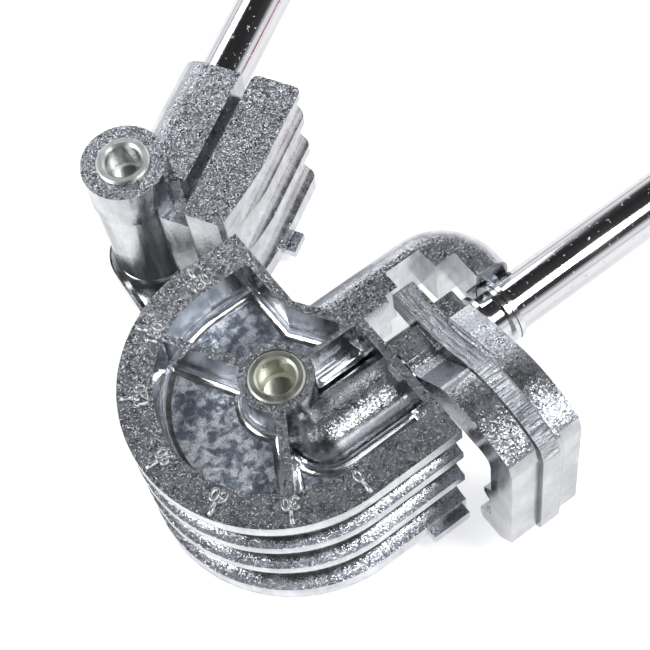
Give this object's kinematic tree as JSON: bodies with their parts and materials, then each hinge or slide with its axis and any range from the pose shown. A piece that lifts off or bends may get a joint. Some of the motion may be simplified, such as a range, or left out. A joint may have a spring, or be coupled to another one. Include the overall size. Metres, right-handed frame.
{
  "type": "tube bender",
  "caption": "Hand tube bender: a grooved dial wheel with a fixed handle, a swinging link with a grooved shoe on a second handle, and a tube latch hook",
  "frame": {"origin": "on the wheel axis, at the level of the dial face", "axes": "+Z is the wheel axis, out of the dial; +X points along the fixed handle; the 0 mark is at -Y and the 180 mark at +Y"},
  "size_m": [0.3235, 0.2498, 0.0492],
  "materials": {
    "cast_alloy": "die-cast, fine speckle on the flat faces",
    "mark_alloy": "raised cast marks",
    "rivet_zinc": "yellow zinc plate",
    "washer_steel": "satin",
    "bar_chrome": "bright chrome plate",
    "pin_steel": "spring steel",
    "grip_red": "soft dipped vinyl",
    "link_steel": "zinc plate"
  },
  "bodies": {
    "frame": {"forming_die": "cast_alloy", "dial_marks": "mark_alloy", "hub_rivet": "rivet_zinc", "hub_shim": "washer_steel", "hub_washer": "washer_steel", "fixed_bar": "bar_chrome", "bar_pin": "pin_steel", "hook_circlip": "washer_steel", "neck_washer": "washer_steel", "bar_collar": "washer_steel", "fixed_grip": "grip_red"},
    "link": {"link_plate": "link_steel", "pivot_rivet": "rivet_zinc", "pivot_spacer": "washer_steel", "thrust_ring": "washer_steel", "pivot_washer": "washer_steel"},
    "shoe": {"shoe_casting": "cast_alloy", "shoe_bar": "bar_chrome", "shoe_pin": "pin_steel", "shoe_grip": "grip_red"},
    "latch": {"latch_hook": "cast_alloy"}
  },
  "joints": [
    {"name": "link_swing", "type": "hinge", "parent": "frame", "child": "link", "pos_m": [0, 0, -0.039], "axis": [0, 0, 1], "range_deg": [-3, 184]},
    {"name": "handle_swing", "type": "hinge", "parent": "link", "child": "shoe", "pos_m": [0.00384, 0.05785, -0.02], "axis": [0, 0, 1], "range_deg": [-34, 120]},
    {"name": "latch_swing", "type": "hinge", "parent": "frame", "child": "latch", "pos_m": [0.0293, -0.0108, -0.012], "axis": [-1, 0, 0], "range_deg": [0, 84]}
  ]
}
